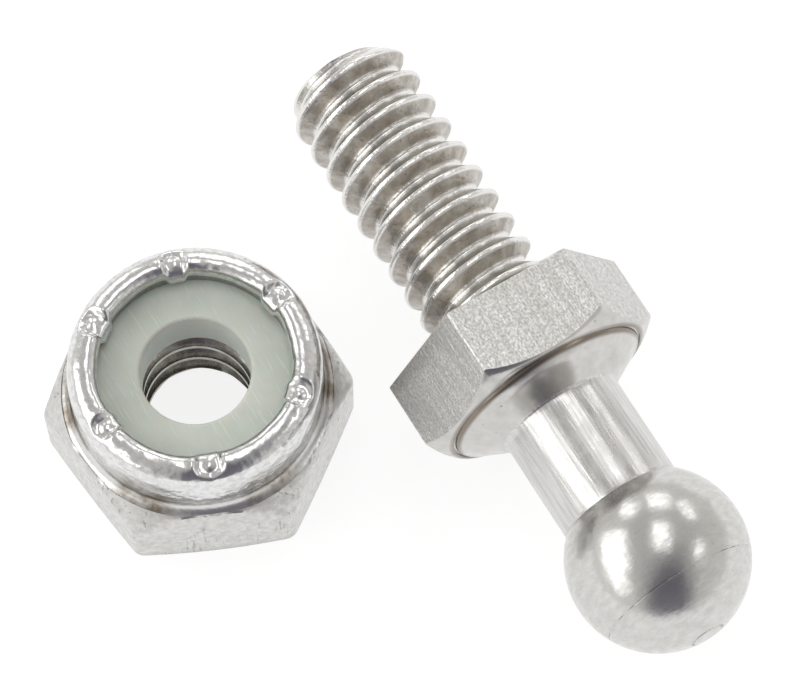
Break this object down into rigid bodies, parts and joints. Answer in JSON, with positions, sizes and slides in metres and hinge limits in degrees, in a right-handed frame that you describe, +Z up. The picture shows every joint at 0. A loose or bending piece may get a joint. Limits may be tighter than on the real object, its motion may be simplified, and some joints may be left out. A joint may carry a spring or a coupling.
{
  "type": "ball stud with lock nut",
  "caption": "Stainless ball stud with hex collar and threaded shank, shown with its separate nylon-insert lock nut, for a ball joint or linkage end.",
  "frame": {"origin": "On the stud's axis, in the plane of the hex collar's seating face. The stud lies on one collar flat, and the table they both lie on is at z = -3.97 mm.", "axes": "+X along the stud from shank to ball, +Z up, +Y to the side away from the nut"},
  "size_m": [0.0241, 0.0197, 0.008],
  "materials": {
    "stud_steel": "turned and polished stainless, frosted hex flats",
    "nut_steel": "bright stainless, burnished rolled lip",
    "nylon": "smooth natural nylon, pale grey-green"
  },
  "bodies": {
    "stud": {"ball_stud": "stud_steel"},
    "lock_nut": {"locknut_body": "nut_steel", "nylon_insert": "nylon"}
  },
  "joints": [
    {"name": "nut_lift", "type": "slide", "parent": "stud", "child": "lock_nut", "axis": [0, 0, 1], "range_m": [0, 0.0109]}
  ]
}
